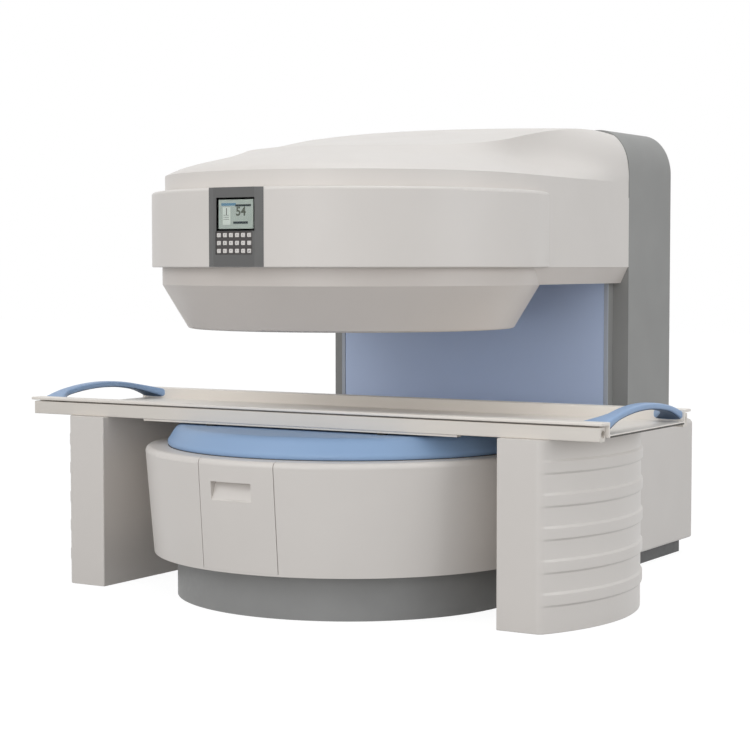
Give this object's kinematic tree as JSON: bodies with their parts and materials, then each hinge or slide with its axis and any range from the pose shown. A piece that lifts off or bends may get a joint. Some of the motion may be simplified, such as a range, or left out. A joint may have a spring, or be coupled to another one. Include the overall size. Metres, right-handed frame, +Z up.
{
  "type": "open mri scanner",
  "caption": "Open MRI scanner: C-shaped permanent magnet in moulded covers, with a sliding patient table that runs through the gap between its round poles.",
  "frame": {"origin": "on the floor, on the vertical axis of the magnet's round poles, under the middle foot", "axes": "+X along the patient table, to the right as seen from the side of the control panel; +Y from the control panel towards the column; +Z up"},
  "size_m": [2.776, 2.714, 2.013],
  "materials": {
    "yoke_iron": "machined yoke steel, painted grey",
    "bolt_steel": "zinc-plated steel",
    "magnet_block": "magnet blocks, sealed",
    "pole_iron": "bare soft iron",
    "coil_resin": "windings cast in resin",
    "foot_steel": "painted steel feet",
    "bracket_steel": "bent steel bar",
    "plinth_grey": "mid grey, matt",
    "rear_plinth_grey": "dark grey, matt",
    "cover_white": "off-white paint, satin",
    "pole_blue": "light blue paint, satin",
    "base_white": "off-white paint, satin",
    "column_grey": "mid grey paint, matt",
    "panel_blue": "grey blue paint, satin",
    "trim_light": "light strip",
    "pole_white": "off-white paint, satin",
    "bezel_grey": "dark grey, fine texture",
    "display_glass": "clear window",
    "display_module": "liquid crystal panel",
    "board_green": "circuit board",
    "key_cream": "moulded key caps",
    "table_white": "gel coat, satin",
    "glide_black": "low-friction plastic",
    "handle_blue": "light blue moulding, satin",
    "rail_cream": "powder coated extrusion",
    "tie_steel": "painted steel bar",
    "pad_rubber": "black rubber",
    "pedestal_white": "off-white moulding, satin",
    "frame_steel": "welded steel, painted grey"
  },
  "bodies": {
    "magnet": {"lower_yoke_plate": "yoke_iron", "upper_yoke_plate": "yoke_iron", "yoke_column": "yoke_iron", "yoke_bolts": "bolt_steel", "lower_magnet_stack": "magnet_block", "upper_magnet_stack": "magnet_block", "lower_pole_shoe": "pole_iron", "upper_pole_shoe": "pole_iron", "lower_gradient_coil": "coil_resin", "upper_gradient_coil": "coil_resin", "lower_transmit_coil": "coil_resin", "upper_transmit_coil": "coil_resin", "magnet_feet": "foot_steel", "cover_brackets": "bracket_steel", "round_plinth": "plinth_grey", "rear_plinth": "rear_plinth_grey", "lower_drum_cover": "cover_white", "lower_pole_cover": "pole_blue", "rear_base_cover": "base_white", "column_cover": "column_grey", "column_front_panel": "panel_blue", "panel_edge_trims": "trim_light", "upper_housing_cover": "cover_white", "upper_pole_cover": "pole_white", "control_panel_bezel": "bezel_grey", "display_window": "display_glass", "display_module": "display_module", "keypad_board": "board_green", "front_rail": "rail_cream", "rear_rail": "rail_cream", "rail_ties": "tie_steel", "rail_sills": "rail_cream", "table_pads": "pad_rubber", "left_pedestal_cover": "pedestal_white", "right_pedestal_cover": "pedestal_white", "left_pedestal_frame": "frame_steel", "right_pedestal_frame": "frame_steel"},
    "table": {"tabletop": "table_white", "glide_shoes": "glide_black", "left_handle": "handle_blue", "right_handle": "handle_blue"},
    "access_panel": {"access_panel": "cover_white"},
    "key_1_1": {"key_1_1": "key_cream"},
    "key_1_2": {"key_1_2": "key_cream"},
    "key_1_3": {"key_1_3": "key_cream"},
    "key_1_4": {"key_1_4": "key_cream"},
    "key_1_5": {"key_1_5": "key_cream"},
    "key_1_6": {"key_1_6": "key_cream"},
    "key_2_1": {"key_2_1": "key_cream"},
    "key_2_2": {"key_2_2": "key_cream"},
    "key_2_3": {"key_2_3": "key_cream"},
    "key_2_4": {"key_2_4": "key_cream"},
    "key_2_5": {"key_2_5": "key_cream"},
    "key_2_6": {"key_2_6": "key_cream"},
    "key_3_1": {"key_3_1": "key_cream"},
    "key_3_2": {"key_3_2": "key_cream"},
    "key_3_3": {"key_3_3": "key_cream"},
    "key_3_4": {"key_3_4": "key_cream"},
    "key_3_5": {"key_3_5": "key_cream"},
    "key_3_6": {"key_3_6": "key_cream"}
  },
  "joints": [
    {"name": "table_slide", "type": "slide", "parent": "magnet", "child": "table", "axis": [1, 0, 0], "range_m": [-0.6, 0.6]},
    {"name": "access_panel_pull", "type": "slide", "parent": "magnet", "child": "access_panel", "axis": [0, -1, 0], "range_m": [0, 0.15]},
    {"name": "key_1_1_press", "type": "slide", "parent": "magnet", "child": "key_1_1", "axis": [0, 1, 0], "range_m": [0, 0.002], "stiffness_N_per_m": 400},
    {"name": "key_1_2_press", "type": "slide", "parent": "magnet", "child": "key_1_2", "axis": [0, 1, 0], "range_m": [0, 0.002], "stiffness_N_per_m": 400},
    {"name": "key_1_3_press", "type": "slide", "parent": "magnet", "child": "key_1_3", "axis": [0, 1, 0], "range_m": [0, 0.002], "stiffness_N_per_m": 400},
    {"name": "key_1_4_press", "type": "slide", "parent": "magnet", "child": "key_1_4", "axis": [0, 1, 0], "range_m": [0, 0.002], "stiffness_N_per_m": 400},
    {"name": "key_1_5_press", "type": "slide", "parent": "magnet", "child": "key_1_5", "axis": [0, 1, 0], "range_m": [0, 0.002], "stiffness_N_per_m": 400},
    {"name": "key_1_6_press", "type": "slide", "parent": "magnet", "child": "key_1_6", "axis": [0, 1, 0], "range_m": [0, 0.002], "stiffness_N_per_m": 400},
    {"name": "key_2_1_press", "type": "slide", "parent": "magnet", "child": "key_2_1", "axis": [0, 1, 0], "range_m": [0, 0.002], "stiffness_N_per_m": 400},
    {"name": "key_2_2_press", "type": "slide", "parent": "magnet", "child": "key_2_2", "axis": [0, 1, 0], "range_m": [0, 0.002], "stiffness_N_per_m": 400},
    {"name": "key_2_3_press", "type": "slide", "parent": "magnet", "child": "key_2_3", "axis": [0, 1, 0], "range_m": [0, 0.002], "stiffness_N_per_m": 400},
    {"name": "key_2_4_press", "type": "slide", "parent": "magnet", "child": "key_2_4", "axis": [0, 1, 0], "range_m": [0, 0.002], "stiffness_N_per_m": 400},
    {"name": "key_2_5_press", "type": "slide", "parent": "magnet", "child": "key_2_5", "axis": [0, 1, 0], "range_m": [0, 0.002], "stiffness_N_per_m": 400},
    {"name": "key_2_6_press", "type": "slide", "parent": "magnet", "child": "key_2_6", "axis": [0, 1, 0], "range_m": [0, 0.002], "stiffness_N_per_m": 400},
    {"name": "key_3_1_press", "type": "slide", "parent": "magnet", "child": "key_3_1", "axis": [0, 1, 0], "range_m": [0, 0.002], "stiffness_N_per_m": 400},
    {"name": "key_3_2_press", "type": "slide", "parent": "magnet", "child": "key_3_2", "axis": [0, 1, 0], "range_m": [0, 0.002], "stiffness_N_per_m": 400},
    {"name": "key_3_3_press", "type": "slide", "parent": "magnet", "child": "key_3_3", "axis": [0, 1, 0], "range_m": [0, 0.002], "stiffness_N_per_m": 400},
    {"name": "key_3_4_press", "type": "slide", "parent": "magnet", "child": "key_3_4", "axis": [0, 1, 0], "range_m": [0, 0.002], "stiffness_N_per_m": 400},
    {"name": "key_3_5_press", "type": "slide", "parent": "magnet", "child": "key_3_5", "axis": [0, 1, 0], "range_m": [0, 0.002], "stiffness_N_per_m": 400},
    {"name": "key_3_6_press", "type": "slide", "parent": "magnet", "child": "key_3_6", "axis": [0, 1, 0], "range_m": [0, 0.002], "stiffness_N_per_m": 400}
  ]
}
